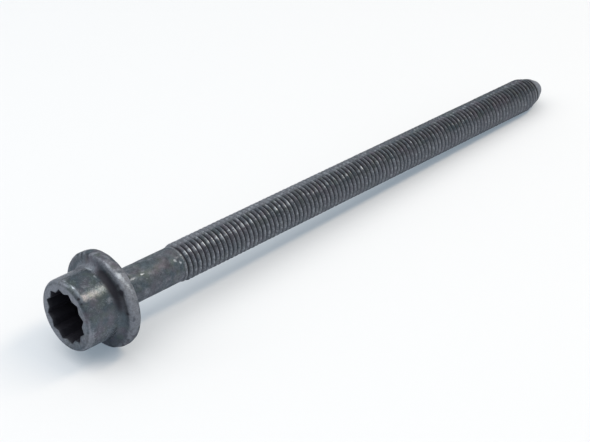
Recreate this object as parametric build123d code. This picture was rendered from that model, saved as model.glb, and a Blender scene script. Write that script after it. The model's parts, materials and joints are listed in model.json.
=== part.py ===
from build123d import *
import math
import os

# Cylinder head bolt with a washer flange and a 12-point drive socket, in millimetres.
# It is one forging with a rolled thread, so it is one solid.
# The section is drawn along the bolt's own axis, with the end face of the head at 0
# and the point at the far end. The finished bolt lies on its side, on the rim of its
# flange and the end of its thread, with the head towards -X and +Z up.
# The threaded length is a plain cylinder of the thread's outside diameter.

# head, with its wall measured from the tips of the socket
head_wall = 2.55
head_height = 15.05
head_edge_round = 1.6
neck_round = 2.0

# washer flange
flange_dia = 29.0
rim_thickness = 3.4
rim_crown = 0.3
rim_front_round = 1.0
rim_back_round = 0.25
flange_cone_drop = 0.35

# drive socket
socket_points = 12
socket_tip_dia = 16.3
socket_crest_dia = 14.1
socket_depth = 9.0
socket_bottom_dia = 13.9
socket_bottom_angle = 140.0
socket_tip_round = 0.2
socket_crest_round = 0.5
socket_mouth_chamfer = 0.25
socket_turn = 12.9

# shank and thread
under_flange_length = 199.2
shank_dia = 10.9
under_head_round = 0.8
plain_length = 24.0
thread_dia = 11.95
thread_runout = 2.2

# point
taper_length = 5.6
taper_end_dia = 8.85
nose_length = 3.45
nose_end_dia = 5.3
nose_edge_round = 0.6

head_r = socket_tip_dia / 2 + head_wall
flange_r = flange_dia / 2
rim_edge_r = flange_r - rim_crown
shank_r = shank_dia / 2
thread_r = thread_dia / 2
taper_end_r = taper_end_dia / 2
nose_end_r = nose_end_dia / 2

# stations along the axis
bearing = head_height
rim_front = bearing - rim_thickness
rim_middle = bearing - rim_thickness / 2
flange_root = rim_front - flange_cone_drop
thread_start = bearing + plain_length
thread_full = thread_start + thread_runout
tip = bearing + under_flange_length
nose_start = tip - nose_length
taper_start = nose_start - taper_length

# the neck's round and the rim's front one share the flange's face, also on a narrow flange
flange_step = rim_edge_r - head_r
neck_share = 0.6
neck_r = min(neck_round, neck_share * flange_step)
rim_front_r = min(rim_front_round, (1 - neck_share) * flange_step)


def rounded_corners():
    """Corners of the section that are rounded, each with its radius."""
    return [
        ((0, head_r), head_edge_round),
        ((flange_root, head_r), neck_r),
        ((rim_front, rim_edge_r), rim_front_r),
        ((bearing, rim_edge_r), rim_back_round),
        ((bearing, shank_r), under_head_round),
        ((tip, nose_end_r), nose_edge_round),
    ]


def turned_blank():
    """The whole bolt as one turned form about X, without its socket."""
    with BuildPart() as blank:
        with BuildSketch(Plane.XZ) as section:
            with BuildLine():
                Polyline((0, 0), (0, head_r), (flange_root, head_r), (rim_front, rim_edge_r))
                ThreePointArc((rim_front, rim_edge_r), (rim_middle, flange_r), (bearing, rim_edge_r))
                Polyline(
                    (bearing, rim_edge_r),
                    (bearing, shank_r),
                    (thread_start, shank_r),
                    (thread_full, thread_r),
                    (taper_start, thread_r),
                    (nose_start, taper_end_r),
                    (tip, nose_end_r),
                    (tip, 0),
                    (0, 0),
                )
            make_face()
            for corner, radius in rounded_corners():
                fillet(section.vertices().sort_by_distance(corner)[0], radius)
        revolve(axis=Axis.X)
    return blank.part


def star_outline():
    """Outline of the socket: a star of equal points, with soft tips and crests."""
    corners = []
    for i in range(socket_points):
        for dia, step in ((socket_tip_dia, i), (socket_crest_dia, i + 0.5)):
            turn = socket_turn + 360 / socket_points * step
            corners.append(Vector(dia / 2, 0).rotate(Axis.Z, turn))
    star = make_face(Polyline(*corners, close=True))
    middle_r = (socket_tip_dia + socket_crest_dia) / 4
    tips = star.vertices().filter_by(lambda v: v.center().length > middle_r)
    star = fillet(tips, socket_tip_round)
    crests = star.vertices().filter_by(lambda v: v.center().length < middle_r)
    return fillet(crests, socket_crest_round)


def drive_socket():
    """The space that the driver fills: the star's prism and the cone of the drilled bottom."""
    mouth = Plane(origin=(0, 0, 0), x_dir=(0, 1, 0), z_dir=(1, 0, 0))
    prism = extrude(mouth * star_outline(), socket_depth, dir=(1, 0, 0))
    bottom_r = socket_bottom_dia / 2
    cone_depth = bottom_r / math.tan(math.radians(socket_bottom_angle / 2))
    bottom = mouth * Pos(0, 0, socket_depth + cone_depth / 2) * Cone(bottom_r, 0, cone_depth)
    return prism + bottom


def lying_tilt():
    """Angle of the axis when the flange's rim and the end of the thread are on the ground."""
    crown_r = (rim_crown**2 + (rim_thickness / 2) ** 2) / (2 * rim_crown)
    along = taper_start - rim_middle
    rise = thread_r - (flange_r - crown_r)
    reach = math.hypot(along, rise)
    return math.degrees(math.asin(crown_r / reach) - math.atan2(rise, along))


def head_bolt():
    """The bolt along its own axis, with the socket's mouth broken by a small chamfer."""
    bolt = turned_blank() - drive_socket()
    end_face = bolt.faces().sort_by(Axis.X)[0]
    return chamfer(end_face.inner_wires()[0].edges(), socket_mouth_chamfer)


def laid_down(bolt):
    """The bolt turned to its resting angle, with the middle of its box's underside at the origin."""
    lying = Rot(0, lying_tilt(), 0) * bolt
    box = lying.bounding_box()
    return Pos(-box.center().X, -box.center().Y, -box.min.Z) * lying


os.makedirs("parts", exist_ok=True)
export_step(laid_down(head_bolt()), "parts/head_bolt.step")
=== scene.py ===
import json
import math

import bpy
from mathutils import Matrix, Vector, noise


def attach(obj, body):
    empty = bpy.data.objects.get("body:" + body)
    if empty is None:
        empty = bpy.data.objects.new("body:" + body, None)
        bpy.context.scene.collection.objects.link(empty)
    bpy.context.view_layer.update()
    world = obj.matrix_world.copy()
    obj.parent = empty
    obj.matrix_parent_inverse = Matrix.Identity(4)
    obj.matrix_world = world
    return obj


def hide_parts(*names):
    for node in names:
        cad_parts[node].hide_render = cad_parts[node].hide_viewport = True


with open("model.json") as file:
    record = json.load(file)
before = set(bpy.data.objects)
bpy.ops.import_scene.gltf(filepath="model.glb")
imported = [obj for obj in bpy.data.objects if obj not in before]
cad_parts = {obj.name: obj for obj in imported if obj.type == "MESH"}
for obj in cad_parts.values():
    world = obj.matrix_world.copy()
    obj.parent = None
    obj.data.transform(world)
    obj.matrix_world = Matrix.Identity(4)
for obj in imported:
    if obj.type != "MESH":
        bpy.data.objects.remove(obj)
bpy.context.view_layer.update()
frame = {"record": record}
print("frame loaded")

mounts = {mount["name"]: mount for mount in frame["record"]["mounts"]}
faceCentre = Vector(mounts["drive_socket"]["pos_m"])  # middle of the head's end face
along = Vector(mounts["thread"]["axis"]).normalized()  # from the head towards the point
side = Vector((0, 1, 0))
above = along.cross(side)
mmPerMetre = 1000

# the bolt is drawn by station from the end face, distance from the axis and angle about it,
# in mm and radians; angles count from +Y over the top


def stationOf(point):
    return (Vector(point) - faceCentre).dot(along) * mmPerMetre


def place(station, radius, angle):
    off = (side * math.cos(angle) + above * math.sin(angle)) * radius
    return faceCentre + (along * station + off) / mmPerMetre


def smoothStep(low, high, value):
    t = min(max((value - low) / (high - low), 0), 1)
    return t * t * (3 - 2 * t)


def bell(distance, width):
    return math.exp(-((distance / width) ** 2))


def between(angle, low, high, soft):
    # 1 where the angle lies between low and high, which are in degrees, and 0 well outside them
    turned = math.degrees(angle) % 360
    begun = smoothStep(low - soft, low + soft, turned)
    return begun * (1 - smoothStep(high - soft, high + soft, turned))


class Wire:  # one socket of a node tree: sums on it add Math nodes
    def __init__(self, tree, node=None, socket=None):
        self.tree = tree
        self.node = node
        self.socket = socket

    def add(self, kind, settings=None, values=None, result=0):
        node = self.tree.nodes.new(kind)
        for name, value in (settings or {}).items():  # first, because some of them change the sockets
            setattr(node, name, value)
        for name, value in (values or {}).items():
            if isinstance(value, Wire):
                self.tree.links.new(value.socket, node.inputs[name])
            else:
                node.inputs[name].default_value = value
        return Wire(self.tree, node, node.outputs[result] if len(node.outputs) else None)

    def output(self, name):  # another socket of the same node
        return Wire(self.tree, self.node, self.node.outputs[name])

    def sum(self, operation, *values):
        return self.add("ShaderNodeMath", {"operation": operation}, dict(enumerate(values)))

    def __add__(self, other):
        return self.sum("ADD", self, other)

    def __radd__(self, other):
        return self.sum("ADD", other, self)

    def __sub__(self, other):
        return self.sum("SUBTRACT", self, other)

    def __rsub__(self, other):
        return self.sum("SUBTRACT", other, self)

    def __mul__(self, other):
        return self.sum("MULTIPLY", self, other)

    def __rmul__(self, other):
        return self.sum("MULTIPLY", other, self)

    def step(self, low, high):  # 0 below low, 1 above high, smooth between them
        ends = {"Value": self, "From Min": low, "From Max": high}
        return self.add("ShaderNodeMapRange", {"interpolation_type": "SMOOTHSTEP"}, ends)

    def blend(self, first, second):  # a colour between two, by this mask
        colours = {0: self, 6: first, 7: second}  # by number, because the names of Mix's sockets repeat
        return self.add("ShaderNodeMix", {"data_type": "RGBA"}, colours, 2)

    def scaled(self, amount):  # a colour made lighter or darker
        return self.add("ShaderNodeVectorMath", {"operation": "SCALE"}, {0: self, "Scale": amount})


def addObject(name, data):
    made = bpy.data.objects.new(name, data)
    bpy.context.collection.objects.link(made)
    return made


def emptyTree(owner):
    # the nodes of a material or of the world, cleared
    owner.use_nodes = True
    owner.node_tree.nodes.clear()
    return Wire(owner.node_tree)


cameraSizes = {
    "fromFace": (-0.194462, -0.278412, 0.244482),  # metres from the end face's middle
    "heading": 44.412,  # degrees from +X towards +Y
    "down": 32.588,
    "lens": 92.258,
    "sees": (0.01, 50),  # metres
}


def makeCamera(sizes):
    camera = addObject("camera", bpy.data.cameras.new("camera"))
    camera.data.lens = sizes["lens"]
    camera.data.clip_start, camera.data.clip_end = sizes["sees"]
    camera.location = faceCentre + Vector(sizes["fromFace"])
    heading = math.radians(sizes["heading"] - 90)
    camera.rotation_euler = (math.radians(90 - sizes["down"]), 0, heading)
    bpy.context.scene.camera = camera


roomLook = {
    "colour": (0.93, 0.98, 1.0, 1),
    "level": 0.58,
    "shadeLevel": 0.15,
    "shadeAt": (-0.93, -0.10, 0.35),
    "shadeEdge": (0.65, 0.92),  # cosines from the middle of the shade
}


def makeRoom(look):
    world = bpy.data.worlds.new("studio")
    bpy.context.scene.world = world
    start = emptyTree(world)
    # the room is darker beyond the table's near end
    way = start.add("ShaderNodeTexCoord", None, None, "Generated")
    shade = Vector(look["shadeAt"]).normalized()
    facing = start.add(
        "ShaderNodeVectorMath", {"operation": "DOT_PRODUCT"}, {0: way, 1: shade}, "Value",
    )
    change = look["shadeLevel"] - look["level"]
    level = look["level"] + facing.step(*look["shadeEdge"]) * change
    sky = start.add("ShaderNodeBackground", None, {"Color": look["colour"], "Strength": level})
    start.add("ShaderNodeOutputWorld", None, {"Surface": sky})


floorLook = {
    "side": 8.0,  # metres
    "colour": (0.70, 0.73, 0.78, 1),
    "seen": (0.568, 0.563, 0.563, 1),
    "lift": (0.165, 0.21, 0.255, 1),
}


def makeFloor(look):
    half = look["side"] / 2
    data = bpy.data.meshes.new("floor")
    corners = [(-half, -half, 0), (half, -half, 0), (half, half, 0), (-half, half, 0)]
    data.from_pydata(corners, [], [(0, 1, 2, 3)])
    material = bpy.data.materials.new("paleFloor")
    start = emptyTree(material)
    # seen or mirrored, the floor is nearly white with a light shadow; what it throws back is plain
    plain = start.add("ShaderNodeBsdfDiffuse", None, {"Color": look["colour"]})
    shadow = start.add("ShaderNodeBsdfDiffuse", None, {"Color": look["seen"]})
    lift = start.add("ShaderNodeEmission", None, {"Color": look["lift"]})
    pale = start.add("ShaderNodeAddShader", None, {0: shadow, 1: lift})
    rays = start.add("ShaderNodeLightPath", None, None, "Is Camera Ray")
    straight = rays + rays.output("Is Glossy Ray") + rays.output("Is Transmission Ray")
    both = start.add("ShaderNodeMixShader", None, {0: straight, 1: plain, 2: pale})
    start.add("ShaderNodeOutputMaterial", None, {"Surface": both})
    data.materials.append(material)
    addObject("floor", data)


lampSizes = {  # metres and watts
    "stripLamp": {
        "at": (0.55, -0.43, 1.03),
        "length": 0.85,
        "width": 0.22,
        "power": 7.0,
        "colour": (1.0, 0.83, 0.64),
    },
    "topLamp": {
        "at": (-0.43, 0.12, 1.03),
        "length": 1.5,
        "width": 1.5,
        "power": 12.8,
        "colour": (1.0, 0.98, 0.96),
    },
}


def makeLamp(name, sizes):
    # it faces the origin, beneath the bolt, with its length as near to X as that allows
    lamp = addObject(name, bpy.data.lights.new(name, "AREA"))
    lamp.data.shape = "RECTANGLE"
    lamp.data.size = sizes["length"]
    lamp.data.size_y = sizes["width"]
    lamp.data.energy = sizes["power"]
    lamp.data.color = sizes["colour"]
    back = Vector(sizes["at"]).normalized()
    across = (Vector((1, 0, 0)) - back * back.x).normalized()
    turn = Matrix((across, back.cross(across), back)).transposed()
    lamp.matrix_world = Matrix.Translation(sizes["at"]) @ turn.to_4x4()


makeCamera(cameraSizes)
makeRoom(roomLook)
makeFloor(floorLook)
for lampName, sizes in lampSizes.items():
    makeLamp(lampName, sizes)
print("studio made")


# the mesh keeps how much of each of these lies at each of its points: wear with painted glints and
# highlights, dirt with painted shade, smoothness, a pale tone that is mostly painted light, and brown
# stains
finishNames = ("wearAndPaintedGlints", "sheltered", "smooth", "pale", "brown")

steelLook = {
    "slate": (0.082, 0.096, 0.113, 1),
    "tints": {  # colour, size of its patches in mm, shift of the noise, edge of a patch, how much
        "violet": ((0.098, 0.098, 0.122, 1), 5.0, 0.0, (0.40, 0.62), 1.0),
        "blue": ((0.060, 0.083, 0.102, 1), 4.0, 0.31, (0.42, 0.64), 0.8),
        "green": ((0.078, 0.098, 0.095, 1), 3.0, 0.67, (0.48, 0.66), 0.6),
    },
    "grains": {  # size in mm, detail, roughness and shift of the noise
        "mottle": (0.9, 4.0, 0.6, 0.0),
        "specks": (0.42, 3.0, 0.65, 0.12),
        "crystals": (0.16, 2.0, 0.6, 0.0),
    },
    "layers": {  # colour, how far mottle and specks break the edge, edge, how much
        # pale grey, mostly painted light: sides made lighter by angle and painted reflections
        "pale": ((0.192, 0.208, 0.242, 1), 0.8, 0.0, (0.1, 0.9), 0.9),
        # bright steel: wear, and painted glints and highlights
        "wearAndPaintedGlints": ((0.44, 0.49, 0.55, 1), 0.7, 0.5, (0.25, 0.85), 0.85),
        "brown": ((0.070, 0.042, 0.026, 1), 0.4, 0.0, (0.15, 0.9), 1.0),
        # near black: dirt, and painted shade in the socket, the neck, the thread's roots and the head's
        # edge band
        "sheltered": ((0.010, 0.009, 0.014, 1), 0.5, 0.0, (0.1, 0.9), 0.95),
    },
    "speckDepth": 1.2,  # how strongly the specks change the colour, where the mottle has 1
    "roughness": 0.44,
    "rougher": {  # what each finish and grain adds to the roughness
        "mottle": 0.25,
        "crystals": 0.1,
        "smooth": -0.19,
        "wearAndPaintedGlints": -0.10,
        "sheltered": 0.2,
        "pale": 0.08,
    },
    "metallic": 0.6,
    "metallicLost": 0.5,  # under dirt and painted shade
    "edgeTint": (0.4, 0.42, 0.46, 1),
    "bumps": {"mottle": 0.6, "specks": 0.3, "crystals": 0.1},
    "bumpsSmoothed": 0.3,
    "bumpStrength": 0.6,
    "bumpHeight": 0.16,  # mm
}


def grain(start, coords, size, detail=3.0, rough=0.5, shift=0.0):
    shifts = {0: coords, 1: (shift, shift, shift)}
    moved = start.add("ShaderNodeVectorMath", {"operation": "ADD"}, shifts)
    values = {"Vector": moved, "Scale": mmPerMetre / size, "Detail": detail, "Roughness": rough}
    return start.add("ShaderNodeTexNoise", None, values)


def steelMaterial(look):
    material = bpy.data.materials.new("phosphatedSteel")
    start = emptyTree(material)
    coords = start.add("ShaderNodeTexCoord", None, None, "Object")
    finish = {}
    for name in finishNames:
        finish[name] = start.add("ShaderNodeAttribute", {"attribute_name": name}, None, "Fac")
    mottle, specks, crystals = [grain(start, coords, *values) for values in look["grains"].values()]
    masks = {}

    def layer(name, under):
        # one finish, which may be partly painted light or shade, laid over a colour; the noises lie
        # about 0.5
        paint, mottled, specked, edge, amount = look["layers"][name]
        uneven = finish[name] + (mottle - 0.5) * mottled + (specks - 0.5) * specked
        masks[name] = uneven.step(*edge)
        return (masks[name] * amount).blend(under, paint)

    colour = look["slate"]
    for tint, size, shift, edge, amount in look["tints"].values():
        patch = grain(start, coords, size, shift=shift).step(*edge)
        colour = (patch * amount).blend(colour, tint)
    colour = layer("pale", colour)
    colour = colour.scaled(mottle + specks * look["speckDepth"])
    # wear with painted glints, brown stains, then dirt with painted shade, laid on in turn
    for name in ("wearAndPaintedGlints", "brown", "sheltered"):
        colour = layer(name, colour)

    changes = {
        "mottle": mottle - 0.5,
        "crystals": crystals - 0.5,
        "smooth": finish["smooth"],
        **masks,
    }
    roughness = look["roughness"]
    for name, amount in look["rougher"].items():
        roughness = roughness + changes[name] * amount
    bumps = look["bumps"]
    height = mottle * (bumps["mottle"] - finish["smooth"] * look["bumpsSmoothed"])
    height = height + specks * bumps["specks"] + crystals * bumps["crystals"]
    bump = {
        "Height": height,
        "Strength": look["bumpStrength"],
        "Distance": look["bumpHeight"] / mmPerMetre,
    }
    values = {
        "Base Color": colour,
        "Roughness": roughness,
        "Metallic": look["metallic"] - masks["sheltered"] * look["metallicLost"],
        "Normal": start.add("ShaderNodeBump", None, bump),
        "Specular Tint": look["edgeTint"],
    }
    surface = start.add("ShaderNodeBsdfPrincipled", None, values)
    start.add("ShaderNodeOutputMaterial", None, {"Surface": surface})
    return material


boltFinish = {
    # station, angle in degrees, length and width in mm, how much
    "marks": {
        # mostly painted glints and highlights, partly wear: on the rim, the shank, the first turns of
        # the thread, the face's edge and the start of the neck
        "wearAndPaintedGlints": [
            (12.0, 104, 0.5, 1.6, 0.5),
            (12.0, 111, 0.5, 1.0, 0.4),
            (12.6, 124, 0.8, 1.2, 0.6),
            (13.0, 131, 0.6, 1.0, 0.4),
            (13.5, 139, 0.6, 1.0, 0.5),
            (13.8, 148, 0.6, 1.4, 0.4),
            (25.1, 125.4, 0.55, 0.35, 1.1),
            (25.5, 143, 0.35, 0.35, 0.6),
            (21.4, 126, 1.8, 0.6, 0.62),
            (36.8, 132, 0.4, 0.5, 1.2),
            (38.0, 125.5, 0.4, 0.55, 1.2),
            (38.2, 144, 0.4, 0.5, 1.2),
            (1.1, 84, 0.35, 0.8, 0.6),
            (1.1, 104, 0.35, 0.8, 0.6),
            (10.0, 72, 0.35, 1.8, 0.5),
            (9.9, 84, 0.35, 1.6, 0.8),
            (9.6, 96, 0.35, 1.0, 0.5),
            (9.0, 103, 0.4, 0.8, 0.8),
        ],
        # painted glints: small pale spots on the head's barrel
        "pale": [
            (8.8, 145, 0.7, 0.6, 0.6),
            (8.2, 149, 0.4, 0.5, 0.6),
            (3.9, 111, 0.5, 0.6, 0.6),
            (6.0, 100, 0.5, 0.5, 0.4),
        ],
        "brown": [
            (14.0, 132, 0.9, 0.8, 0.35),
            (9.1, 116, 0.5, 0.6, 0.6),
            (11.4, 70, 0.8, 1.4, 0.4),
            (11.2, 150, 0.8, 1.2, 0.4),
            (17.0, 150, 1.2, 1.2, 0.4),
        ],
    },
    # parts of the head about one ring: its station and radius, and how far the part reaches, in mm
    "headRings": {
        "edge": (0.2, 9.5, 0.3),
        "band": (0.5, 10.2, 0.45),
        "corner": (1.35, 10.7, 0.35),
        "neck": (10.65, 11.1, 1.4),
        "front": (11.55, 13.3, 1.1),
        "root": (11.65, 12.9, 0.7),
    },
    "headFace": (0.0, 0.2),  # stations where the end face stops
    "barrelStart": (0.3, 1.2),
    "barrelEnd": (9.85, 11.05),
    "rimFrom": (13.3, 14.0),  # radii
    "streaks": 9,  # waves of the noise round the flange's front
    "chips": 14,
    "darkBandSpread": (0.4, 1.4),  # painted dark reflection in the edge band: even, and in waves
    "patchSize": {"head": 1.3, "shank": 1.6, "thread": 0.9},  # mm
    # what lies on each part, finish and painted light and shade alike: how much, and where it isn't all
    # round, between which degrees, how soft
    "head": {
        # wear at the face's edge and the corner, with painted glints on the corner and a painted
        # highlight band on the rim
        "wearAndPaintedGlints": [
            ("edge", 0.2),
            ("corner", 0.15),
            ("corner", 0.15, 85, 130, 10),
            ("rim", 0.15, 116, 144, 6),
        ],
        # painted shade in the neck and at the rim's root, painted dark reflection in the edge band,
        # dark streaks and random dark patches on the rim
        "sheltered": [
            ("neck", 0.1),
            ("neck", 0.65, 98, 170, 12),
            ("neck", 0.45, 98, 142, 14),
            ("chips", 1.0, 100, 155, 8),
            ("streaks", 0.9),
            ("root", 0.6, 132, 178, 14),
            ("rimHollows", 0.5),
        ],
        "smooth": [
            ("barrel", 1.0),
            ("rim", -1.0),
        ],
        # mostly painted light: the rim, the flange's front, the end face, the edge band, the corner and
        # the barrel made lighter by angle, and painted highlights at the neck; random darker patches on
        # the rim
        "pale": [
            ("rim", 0.32),
            ("rim", 0.48, 116, 205, 8),
            ("rimPatches", -0.9),
            ("front", 0.38),
            ("front", 0.37, 98, 170, 12),
            ("face", 0.87),
            ("face", -0.32, 130, 195, 15),
            ("face", -0.5, 195, 275, 15),
            ("band", 0.8),
            ("band", -0.8, 100, 158, 10),
            ("corner", 0.42),
            ("corner", -0.42, 114, 168, 8),
            ("neck", 0.65, 40, 92, 10),
            ("barrel", 0.6, 20, 80, 8),
            ("barrel", 0.15, 100, 120, 5),
            ("barrel", 0.3, 142, 152, 5),
            ("barrel", 0.3, 182, 220, 8),
        ],
    },
    "shank": {
        # painted shade between 100 and 150 degrees, and random dark patches
        "sheltered": [("shank", 0.2, 100, 150, 8), ("hollows", 0.6)],
        "smooth": [("shank", -0.5)],
        # painted light: lighter all round except between 95 and 168 degrees; random lighter patches
        "pale": [("shank", 0.3), ("shank", -0.3, 95, 168, 10), ("humps", 0.7)],
    },
    # the same for the thread, with how much there is at its first turn and at its last
    "thread": {
        # wear on flanks and crests, with painted glints on the crests between 119 and 133 degrees, most
        # near the head
        "wearAndPaintedGlints": [
            ("flank", (0.36, 0.26)),
            ("crestPatches", (0.35, 0.35)),
            ("crestPatches", (0.6, 0.0), 119, 133, 4),
            ("firstCrests", (0.5, 0.5), 119, 133, 4),
        ],
        # painted shade in the thread's roots and in a band on its upper side
        "sheltered": [("root", (0.76, 0.91)), ("shade", (0.2, 0.4))],
        "smooth": [("crest", (0.4, 0.4))],
        # mostly painted light: lighter flanks, more so between 145 and 220 degrees, and a lighter top
        # near the head
        "pale": [
            ("flank", (0.3, 0.1)),
            ("flank", (0.3, 0.55), 145, 220, 10),
            ("all", (0.65, 0.10), 30, 86, 8),
        ],
        "brown": [("flank", (0.3, 0.3))],
    },
    "flankEnd": (0.5, 0.62),  # shares of the pitch below the crest
    "rootFrom": (0.42, 0.6),
    "firstCrests": 2.2,  # how soon they end: 1 would be at the last turn
    "shade": (88, 119, 133, 7),  # degrees: low, high at the first turn and at the last, and how soft
    "socketMouth": 0.8,  # painted shade with some dirt at the mouth, and 1 at its bottom
    "nose": {"wearAndPaintedGlints": 0.3, "pale": 0.8},
}

markReach = 3  # lengths of a mark, beyond which it is too faint to count


def patches(station, radius, angle, size):
    # uneven patches over the surface, about -0.5 to 0.5
    spot = Vector((station, radius * math.cos(angle), radius * math.sin(angle))) / size
    return noise.noise(spot)


def unevenRays(angle, waves, level):
    # rays round the axis, 0 in about half of the places
    spot = Vector((math.cos(angle) * waves, math.sin(angle) * waves, level))
    return max(0.0, noise.noise(spot))


def marked(name, station, radius, angle):
    total = 0.0
    for markStation, markAngle, length, width, amount in boltFinish["marks"].get(name, []):
        gap = abs(station - markStation) / length
        if gap < markReach:
            off = (math.degrees(angle) - markAngle + 180) % 360 - 180
            total += amount * bell(gap, 1) * bell(math.radians(off) * radius, width)
    return total


def finishAt(rows, parts, station, radius, angle):
    # what lies on the parts that reach this point, and the marks that do
    finish = {}
    for name in finishNames:
        total = marked(name, station, radius, angle)
        for part, amount, *span in rows.get(name, []):
            if parts[part]:
                total += amount * parts[part] * (between(angle, *span) if span else 1.0)
        finish[name] = total
    return finish


def headFinish(station, radius, angle):
    parts = {}
    for name, (ringStation, ringRadius, reach) in boltFinish["headRings"].items():
        parts[name] = bell(math.dist((station, radius), (ringStation, ringRadius)), reach)
    parts["face"] = 1 - smoothStep(*boltFinish["headFace"], station)
    parts["barrel"] = smoothStep(*boltFinish["barrelStart"], station)
    parts["barrel"] *= 1 - smoothStep(*boltFinish["barrelEnd"], station)
    parts["rim"] = smoothStep(*boltFinish["rimFrom"], radius)
    uneven = patches(station, radius, angle, boltFinish["patchSize"]["head"])
    parts["rimPatches"] = parts["rim"] * uneven
    parts["rimHollows"] = parts["rim"] * max(0.0, uneven)
    parts["streaks"] = parts["front"] * unevenRays(angle, boltFinish["streaks"], 0)
    even, darkBandSpread = boltFinish["darkBandSpread"]
    # the edge band's painted dark reflection, even and in waves round the head
    parts["chips"] = parts["band"] * (even + darkBandSpread * unevenRays(angle, boltFinish["chips"], 5))
    return finishAt(boltFinish["head"], parts, station, radius, angle)


def shankFinish(station, radius, angle):
    uneven = patches(station, radius, angle, boltFinish["patchSize"]["shank"])
    parts = {"shank": 1.0, "hollows": max(0.0, uneven), "humps": -min(0.0, uneven)}
    return finishAt(boltFinish["shank"], parts, station, radius, angle)


def threadFinish(share, crest, down, station, radius, angle):
    # share is how far along the thread this is; the crests are rubbed and carry painted glints, most of
    # all near the head
    low, firstHigh, lastHigh, soft = boltFinish["shade"]
    parts = {
        "all": 1.0,
        "crest": crest,
        "crestPatches": crest * patches(station, radius, angle, boltFinish["patchSize"]["thread"]),
        "firstCrests": crest * max(0.0, 1 - boltFinish["firstCrests"] * share),
        "flank": 1 - smoothStep(*boltFinish["flankEnd"], down),
        "root": smoothStep(*boltFinish["rootFrom"], down),
        "shade": between(angle, low, firstHigh + (lastHigh - firstHigh) * share, soft),
    }
    rows = {}
    for name, ends in boltFinish["thread"].items():
        rows[name] = [
            (part, first + (last - first) * share, *span) for part, (first, last), *span in ends
        ]
    return finishAt(rows, parts, station, radius, angle)


boltSizes = {  # mm and degrees, stations from the end face of the head
    "headRadius": 10.7,
    "edgeRound": 1.6,
    "neckRound": 2.0,
    "rimRadius": 14.5,
    "rimThickness": 3.4,
    "rimCrown": 0.3,
    "rimFrontRound": 1.0,
    "rimBackRound": 0.25,
    "coneDrop": 0.35,
    "socketPoints": 12,
    "socketTip": 8.15,
    "socketCrest": 7.05,
    "socketTipRound": 0.2,
    "socketCrestRound": 0.5,
    "socketDepth": 9.0,
    "socketBottom": 6.95,
    "socketBottomAngle": 140.0,
    "socketTurn": 12.9,
    "mouthChamfer": 0.25,
    "underHeadRound": 0.8,
    "shankRadius": 5.45,
    "plainLength": 24.0,
    "runOut": 2.2,
    "pitch": 1.75,
    "crestRound": (0.018, 0.022),  # shares of the pitch on the flat and down the flank
    "crestDepth": 0.25,  # share of the pitch, down from the crest, that is dented and rubbed with it
    "threadEndRadius": 4.85,
    "taperLength": 5.6,
    "taperEndRadius": 4.425,
    "taperEndRound": 1.5,
    "noseLength": 3.45,
    "noseEndRadius": 2.65,
    "noseRound": 0.6,
    # hollows from use
    "dentSize": 2.2,
    "headDents": 0.05,
    "rimDents": 0.22,
    "shankDents": 0.06,
    "crestDentSize": 1.1,
    "crestDents": 0.10,
    # how finely it is drawn
    "ringGap": 0.7,
    "roundSteps": 8,
    "crownSteps": 8,
    "crownFirst": 2,  # the rim's front round takes up the steps before this one
    "tipSteps": 4,
    "crestSteps": 6,
    "flankPoints": 4,
    "coneRings": (0.5, 1.0),  # shares of the way out from the middle of the socket's bottom
    "wallRings": (1.0, 0.7, 0.4, 0.15, 0.0),  # shares of its depth
    "faceRings": (0.0, 0.35, 0.7),  # shares of the way out from its mouth
    "faceGap": 0.01,  # between the end face and the round at its edge
    "wideRun": 2.0,  # how far the head's columns go on beyond the bearing face
    "noseRing": 0.05,  # radius of the last ring, about the middle of the nose's end
    "sharpAngle": 50,
}

wideToThin = 3  # columns of the head that become one of the shank and thread


def threadForm(sizes):
    # one pitch of the thread's section: shares of the pitch along it and below the crest,
    # by the standard form, with half a crest's flat, the root's round and the depth
    crest = 1 / 16
    rootRadius = math.sqrt(3) / 12
    depth = 17 / 24 * math.sqrt(3) / 2
    root = [
        (0.5 - rootRadius * math.sin(t), depth - rootRadius * (1 - math.cos(t)))
        for t in (math.pi / 3, math.pi / 6)
    ]
    flat, slope = sizes["crestRound"]
    cornerAt = crest + slope
    half = [(crest - flat, 0.0), (cornerAt, (cornerAt - crest) * math.sqrt(3)), *root]
    mirrored = [(1 - at, down) for at, down in reversed(half)]
    return half + [(0.5, depth)] + mirrored


def arcCorner(before, corner, after, radius, steps):
    # the points of a round between two straight runs
    a = (Vector(before) - Vector(corner)).normalized()
    b = (Vector(after) - Vector(corner)).normalized()
    half = a.angle(b) / 2
    centre = Vector(corner) + (a + b).normalized() * radius / math.sin(half)
    start = Vector(corner) + a * radius / math.tan(half) - centre
    end = Vector(corner) + b * radius / math.tan(half) - centre
    turn = start.angle_signed(end)
    points = []
    for i in range(steps + 1):
        t = -turn * i / steps
        points.append((
            centre.x + start.x * math.cos(t) - start.y * math.sin(t),
            centre.y + start.x * math.sin(t) + start.y * math.cos(t),
        ))
    return points


def section(corners, steps, gap):
    # corners are (station, radius, round); long runs get more points, so that they can be uneven
    bare = [corner[:2] for corner in corners]
    points = [bare[0]]
    for i in range(1, len(corners) - 1):
        radius = corners[i][2]
        if radius:
            points += arcCorner(bare[i - 1], bare[i], bare[i + 1], radius, steps)
        else:
            points.append(bare[i])
    points.append(bare[-1])
    filled = [points[0]]
    for last, point in zip(points, points[1:]):
        pieces = max(1, math.ceil(math.dist(last, point) / gap))
        for k in range(1, pieces + 1):
            t = k / pieces
            filled.append((last[0] + (point[0] - last[0]) * t, last[1] + (point[1] - last[1]) * t))
    return filled


def innerPoints(start, end, count):
    # evenly spaced between two others, without those two
    return [tuple(Vector(start).lerp(Vector(end), k / (count + 1))) for k in range(1, count + 1)]


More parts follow.
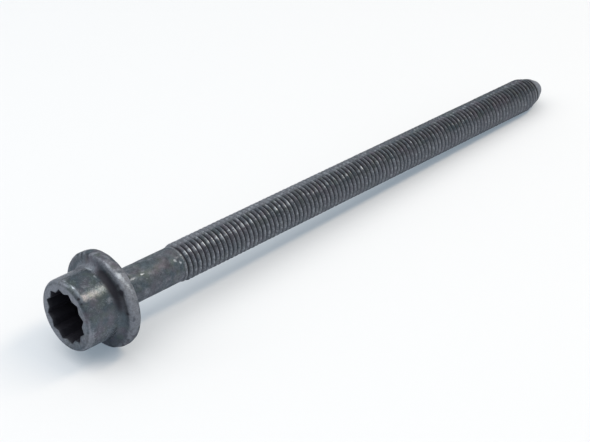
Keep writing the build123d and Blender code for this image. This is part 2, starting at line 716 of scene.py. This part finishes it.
def starOutline(sizes, grown=0.0):
    # radius and angle round the socket, as many points to each lobe; grown is how far it is widened
    half = math.pi / sizes["socketPoints"]
    tip = Vector((sizes["socketTip"], 0))
    crest = Vector((sizes["socketCrest"] * math.cos(half), sizes["socketCrest"] * math.sin(half)))
    tipAngle = (crest - tip).angle(Vector((-1, 0)))
    tipRadius = sizes["socketTip"] + grown / math.sin(tipAngle)
    crestRadius = sizes["socketCrest"] + grown / math.sin(tipAngle + half)

    def corner(k):
        radius = crestRadius if k % 2 else tipRadius
        return radius * math.cos(k * half), radius * math.sin(k * half)

    tipRound = sizes["socketTipRound"] + grown
    crestRound = sizes["socketCrestRound"] - grown
    tipArc = arcCorner(corner(-1), corner(0), corner(1), tipRound, sizes["tipSteps"])
    crestArc = arcCorner(corner(0), corner(1), corner(2), crestRound, sizes["crestSteps"])
    nextTip = Matrix.Rotation(2 * half, 2) @ Vector(tipArc[0])
    lobe = tipArc + innerPoints(tipArc[-1], crestArc[0], sizes["flankPoints"])
    lobe += crestArc + innerPoints(crestArc[-1], nextTip, sizes["flankPoints"])
    turn = math.radians(sizes["socketTurn"])
    outline = []
    for i in range(sizes["socketPoints"]):
        for x, y in lobe:
            outline.append((math.hypot(x, y), turn + math.atan2(y, x) + 2 * half * i))
    return outline


class Skin:  # the points and faces of one closed mesh, with its finish at each point
    def __init__(self):
        self.points = []
        self.faces = []
        self.finish = {name: [] for name in finishNames}

    def point(self, position, **finish):
        self.points.append(position)
        for name in finishNames:
            self.finish[name].append(finish.get(name, 0.0))
        return len(self.points) - 1

    def face(self, *corners):
        kept = [c for i, c in enumerate(corners) if c != corners[i - 1]]
        if len(kept) > 2:
            self.faces.append(kept)

    def ring(self, station, radii, angles, finish=None, **same):
        # one round of points, with a finish worked out at each of them or the same for all
        made = []
        for radius, angle in zip(radii, angles):
            here = finish(station, radius, angle) if finish else same
            made.append(self.point(place(station, radius, angle), **here))
        return made

    def join(self, rings):
        for ring, following in zip(rings, rings[1:]):
            for j in range(len(ring)):
                k = (j + 1) % len(ring)
                self.face(ring[j], ring[k], following[k], following[j])


def dent(station, radius, angle, size, depth):
    # small hollows, only inwards; middle is how deep it is where the noise is 0
    middle, swing = 0.2, 0.7
    return depth * max(0.0, patches(station, radius, angle, size) * swing + middle)


def buildBolt(sizes):
    skin = Skin()
    bearing = stationOf(mounts["bearing_face"]["pos_m"])
    threadRadius = mounts["thread"]["dims"]["r_mm"]
    threadMiddle = stationOf(mounts["thread"]["pos_m"])
    taperStart = threadMiddle + mounts["thread"]["dims"]["length_mm"] / 2
    rimFront = bearing - sizes["rimThickness"]
    rimEdge = sizes["rimRadius"] - sizes["rimCrown"]
    threadStart = bearing + sizes["plainLength"]
    noseStart = taperStart + sizes["taperLength"]
    tip = noseStart + sizes["noseLength"]
    taperSlope = (threadRadius - sizes["taperEndRadius"]) / sizes["taperLength"]
    threadEnd = taperStart + (threadRadius - sizes["threadEndRadius"]) / taperSlope

    # the socket gives the head as many columns as its outline has points
    chamfer = sizes["mouthChamfer"]
    starRadii, starAngles = zip(*starOutline(sizes))
    mouthRadii, mouthAngles = zip(*starOutline(sizes, chamfer))
    wideCount = len(starRadii)
    thinCount = wideCount // wideToThin
    turn = math.radians(sizes["socketTurn"])
    wideAngles = [turn + 2 * math.pi * j / wideCount for j in range(wideCount)]
    thinAngles = [turn + 2 * math.pi * j / thinCount for j in range(thinCount)]

    # socket, from the bottom of its cone out to the mouth, darkened with painted shade and dirt, fully
    # at the bottom
    depth = sizes["socketDepth"]
    coneDepth = sizes["socketBottom"] / math.tan(math.radians(sizes["socketBottomAngle"] / 2))
    bottom = skin.point(place(depth + coneDepth, 0, 0), sheltered=1)
    rings = [[bottom] * wideCount]
    for share in sizes["coneRings"]:
        level = depth + coneDepth * (1 - share)
        radii = [sizes["socketBottom"] * share] * wideCount
        rings.append(skin.ring(level, radii, starAngles, sheltered=1))
    mouthShadeAndDirt = boltFinish["socketMouth"]
    for share in sizes["wallRings"]:
        level = chamfer + (depth - chamfer) * share
        shadeAndDirt = mouthShadeAndDirt + (1 - mouthShadeAndDirt) * share
        rings.append(skin.ring(level, starRadii, starAngles, sheltered=shadeAndDirt))
    faceRadius = sizes["headRadius"] - sizes["edgeRound"] - sizes["faceGap"]
    for share in sizes["faceRings"]:
        radii = [r + (faceRadius - r) * share for r in mouthRadii]
        angles = [a + (b - a) * share for a, b in zip(mouthAngles, wideAngles)]
        rings.append(skin.ring(0, radii, angles, headFinish))

    # head, neck, flange and the first of the shank
    changeAt = bearing + sizes["wideRun"]
    corners = [(0, faceRadius, 0), (0, sizes["headRadius"], sizes["edgeRound"])]
    corners.append((rimFront - sizes["coneDrop"], sizes["headRadius"], sizes["neckRound"]))
    corners.append((rimFront, rimEdge, sizes["rimFrontRound"]))
    for k in range(sizes["crownFirst"], sizes["crownSteps"]):
        t = k / sizes["crownSteps"]
        bulge = sizes["rimCrown"] * (1 - (2 * t - 1) ** 2)
        corners.append((rimFront + sizes["rimThickness"] * t, rimEdge + bulge, 0))
    corners.append((bearing, rimEdge, sizes["rimBackRound"]))
    corners.append((bearing, sizes["shankRadius"], sizes["underHeadRound"]))
    corners.append((changeAt, sizes["shankRadius"], 0))
    for station, radius in section(corners, sizes["roundSteps"], sizes["ringGap"]):
        rim = smoothStep(rimEdge - sizes["rimCrown"], sizes["rimRadius"], radius)
        deep = sizes["headDents"] + sizes["rimDents"] * rim
        radii = [radius - dent(station, radius, a, sizes["dentSize"], deep) for a in wideAngles]
        rings.append(skin.ring(station, radii, wideAngles, headFinish))
    skin.join(rings)

    # three columns become one, and the plain shank goes on to the thread
    wide = rings[-1]
    rings = []
    radius = sizes["shankRadius"]
    shankGaps = round((threadStart - changeAt) / sizes["ringGap"])
    for k in range(1, shankGaps + 1):
        station = changeAt + (threadStart - changeAt) * k / shankGaps
        deep = sizes["shankDents"] if k < shankGaps else 0.0
        radii = [radius - dent(station, radius, a, sizes["dentSize"], deep) for a in thinAngles]
        rings.append(skin.ring(station, radii, thinAngles, shankFinish))
    for j in range(thinCount):
        a, b = rings[0][j], rings[0][(j + 1) % thinCount]
        w = [wide[(wideToThin * j + k) % wideCount] for k in range(wideToThin + 1)]
        skin.face(w[0], w[1], a)
        skin.face(w[1], b, a)
        skin.face(w[1], w[2], b)
        skin.face(w[2], w[3], b)
    skin.join(rings)

    # the helical thread between two rings
    def coneRadius(station):
        return threadRadius - max(0.0, station - taperStart) * taperSlope

    startRing = rings[-1]
    endRing = skin.ring(threadEnd, [coneRadius(threadEnd)] * thinCount, thinAngles)
    pitch = sizes["pitch"]
    form = threadForm(sizes)
    perPitch = len(form)
    threadPoints = {}

    def threadPoint(row, column):
        if column == thinCount:
            row, column = row + perPitch, 0
        turns, phase = divmod(row, perPitch)
        at, down = form[phase]
        station = threadStart + pitch * (turns - 1 + at + column / thinCount)
        if station <= threadStart:
            return startRing[column]
        if station >= threadEnd:
            return endRing[column]
        key = (row, column)
        if key not in threadPoints:
            angle = thinAngles[column]
            raised = smoothStep(threadStart, threadStart + sizes["runOut"], station)
            full = threadRadius - down * pitch
            radius = sizes["shankRadius"] + raised * (full - sizes["shankRadius"])
            radius = min(radius, coneRadius(station))
            crest = raised * (1 - min(1.0, down / sizes["crestDepth"]))
            radius -= dent(station, radius, angle, sizes["crestDentSize"], sizes["crestDents"]) * crest
            share = (station - threadStart) / (threadEnd - threadStart)
            finish = threadFinish(share, crest, down, station, radius, angle)
            threadPoints[key] = skin.point(place(station, radius, angle), **finish)
        return threadPoints[key]

    # one row lies before the first, so that no gap is left at the start ring
    rows = math.ceil((threadEnd - threadStart) / pitch + 1) * perPitch
    for row in range(-1, rows):
        for column in range(thinCount):
            skin.face(
                threadPoint(row, column),
                threadPoint(row, column + 1),
                threadPoint(row + 1, column + 1),
                threadPoint(row + 1, column),
            )

    # the smooth nose
    corners = [
        (threadEnd, coneRadius(threadEnd), 0),
        (noseStart, sizes["taperEndRadius"], sizes["taperEndRound"]),
        (tip, sizes["noseEndRadius"], sizes["noseRound"]),
        (tip, sizes["noseRing"], 0),
    ]
    rings = [endRing]
    for station, radius in section(corners, sizes["roundSteps"], sizes["ringGap"])[1:]:
        rings.append(skin.ring(station, [radius] * thinCount, thinAngles, **boltFinish["nose"]))
    end = skin.point(place(tip, 0, 0), **boltFinish["nose"])
    rings.append([end] * thinCount)
    skin.join(rings)
    return skin


def boltObject(skin, material, sharpAngle):
    data = bpy.data.meshes.new("headBolt")
    data.from_pydata(skin.points, [], skin.faces)
    for name, values in skin.finish.items():
        data.attributes.new(name, "FLOAT", "POINT").data.foreach_set("value", values)
    data.shade_smooth()
    data.set_sharp_from_angle(angle=math.radians(sharpAngle))
    data.materials.append(material)
    data.validate()
    return addObject("headBolt", data)


skin = buildBolt(boltSizes)
bolt = boltObject(skin, steelMaterial(steelLook), boltSizes["sharpAngle"])
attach(bolt, "root")
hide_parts("head_bolt")
print("bolt made:", len(skin.points), "points,", sum(len(face) - 2 for face in skin.faces), "triangles")

bpy.context.scene.view_settings.view_transform = "Standard"
